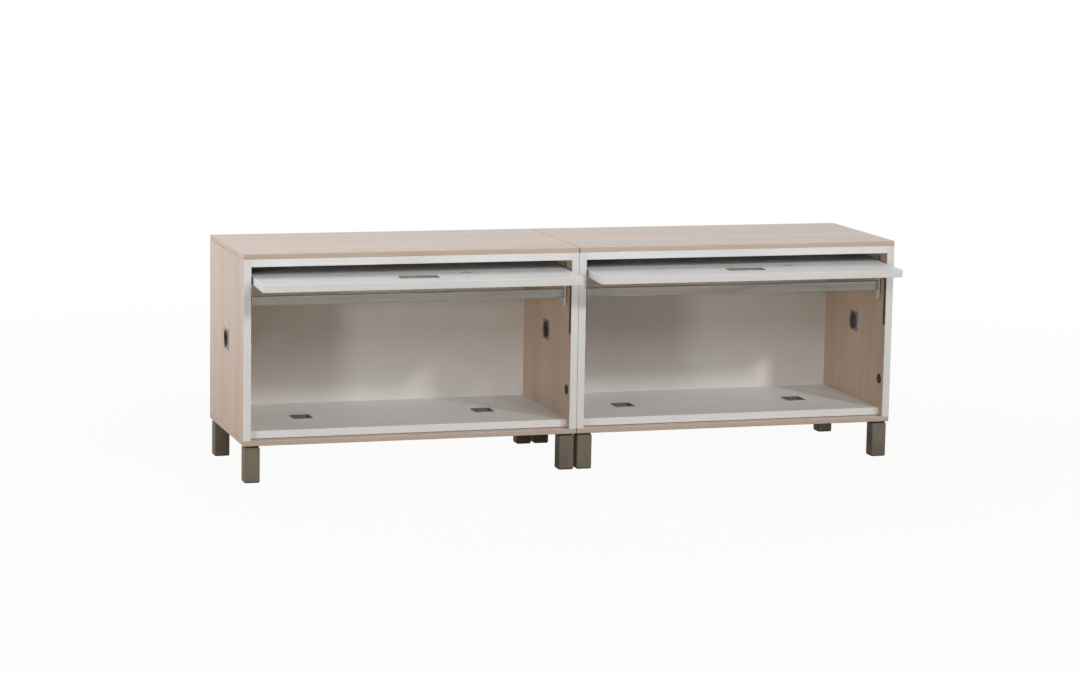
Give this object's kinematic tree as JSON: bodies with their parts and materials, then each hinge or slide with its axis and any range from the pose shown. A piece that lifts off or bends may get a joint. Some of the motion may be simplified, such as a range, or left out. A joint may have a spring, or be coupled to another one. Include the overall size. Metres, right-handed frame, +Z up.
{
  "type": "low sideboard",
  "caption": "Low office sideboard of paired cabinets on square legs, with flap doors that slide back under the top, cable ports, recessed handles and locks.",
  "frame": {"origin": "on the ground under the middle of the sideboard's box, with the flap doors drawn back", "axes": "+Z up, +X along the length to the viewer's right, front and door openings towards -Y"},
  "size_m": [2.004, 0.605, 0.661],
  "materials": {
    "wood_board": "matt wood-grain melamine",
    "wood_side": "matt wood-grain melamine",
    "white_board": "matt white melamine",
    "white_back": "matt white melamine",
    "white_door": "satin white melamine",
    "white_band": "satin white edge band",
    "handle_metal": "satin grey",
    "lock_metal": "satin nickel",
    "bar_metal": "anodised, satin",
    "bracket_metal": "light grey powder coat",
    "track_metal": "mill, satin",
    "trolley_plastic": "moulded",
    "fastener_steel": "zinc plated",
    "black_strip": "extruded, matt",
    "black_cap": "moulded, matt",
    "black_foot": "moulded, matt",
    "port_plastic": "moulded, satin",
    "floor_port_plastic": "moulded, satin",
    "leg_metal": "taupe powder coat",
    "dowel_wood": "fluted beech"
  },
  "bodies": {
    "cabinet": {"left_top_panel": "wood_board", "left_bottom_panel": "wood_board", "left_inner_side": "wood_side", "left_outer_side": "wood_side", "left_front_top_rail": "white_board", "left_rear_top_rail": "white_board", "left_floor_panel": "white_board", "left_back_panel": "white_back", "left_side_bands": "white_band", "left_door_tracks": "track_metal", "left_guide_strips": "black_strip", "left_side_ports": "port_plastic", "left_floor_ports": "floor_port_plastic", "left_front_left_leg": "leg_metal", "left_front_right_leg": "leg_metal", "left_rear_left_leg": "leg_metal", "left_rear_right_leg": "leg_metal", "right_top_panel": "wood_board", "right_bottom_panel": "wood_board", "right_inner_side": "wood_side", "right_outer_side": "wood_side", "right_front_top_rail": "white_board", "right_rear_top_rail": "white_board", "right_floor_panel": "white_board", "right_back_panel": "white_back", "right_side_bands": "white_band", "right_door_tracks": "track_metal", "right_guide_strips": "black_strip", "right_side_ports": "port_plastic", "right_floor_ports": "floor_port_plastic", "right_front_left_leg": "leg_metal", "right_front_right_leg": "leg_metal", "right_rear_left_leg": "leg_metal", "right_rear_right_leg": "leg_metal", "carcass_dowels": "dowel_wood", "cover_caps": "black_cap", "track_screws": "fastener_steel", "leg_spacers": "black_foot", "leg_screws": "fastener_steel", "leg_glides": "black_foot", "joint_bolts": "fastener_steel"},
    "left_trolleys": {"left_door_trolleys": "trolley_plastic"},
    "left_door": {"left_door": "white_door", "left_door_handle": "handle_metal", "left_lock_barrel": "lock_metal", "left_door_bar": "bar_metal", "left_bar_brackets": "bracket_metal", "left_pivot_pins": "fastener_steel", "left_bracket_screws": "fastener_steel"},
    "left_lock": {"left_lock_plug": "lock_metal"},
    "right_trolleys": {"right_door_trolleys": "trolley_plastic"},
    "right_door": {"right_door": "white_door", "right_door_handle": "handle_metal", "right_lock_barrel": "lock_metal", "right_door_bar": "bar_metal", "right_bar_brackets": "bracket_metal", "right_pivot_pins": "fastener_steel", "right_bracket_screws": "fastener_steel"},
    "right_lock": {"right_lock_plug": "lock_metal"}
  },
  "joints": [
    {"name": "left_door_slide", "type": "slide", "parent": "cabinet", "child": "left_trolleys", "axis": [0, -0.9992, -0.0401], "range_m": [0, 0.29289]},
    {"name": "left_door_swing", "type": "hinge", "parent": "left_trolleys", "child": "left_door", "pos_m": [-0.50025, 0.13115, 0.5954], "axis": [1, 0, 0], "range_deg": [0, 87.7]},
    {"name": "left_lock_turn", "type": "hinge", "parent": "left_door", "child": "left_lock", "pos_m": [-0.34525, -0.17865, 0.59397], "axis": [0, -0.0401, 0.9992], "range_deg": [0, 90]},
    {"name": "right_door_slide", "type": "slide", "parent": "cabinet", "child": "right_trolleys", "axis": [0, -0.9992, -0.0401], "range_m": [0, 0.29289]},
    {"name": "right_door_swing", "type": "hinge", "parent": "right_trolleys", "child": "right_door", "pos_m": [0.50025, 0.13115, 0.5954], "axis": [1, 0, 0], "range_deg": [0, 87.7]},
    {"name": "right_lock_turn", "type": "hinge", "parent": "right_door", "child": "right_lock", "pos_m": [0.65525, -0.17865, 0.59397], "axis": [0, -0.0401, 0.9992], "range_deg": [0, 90]}
  ]
}
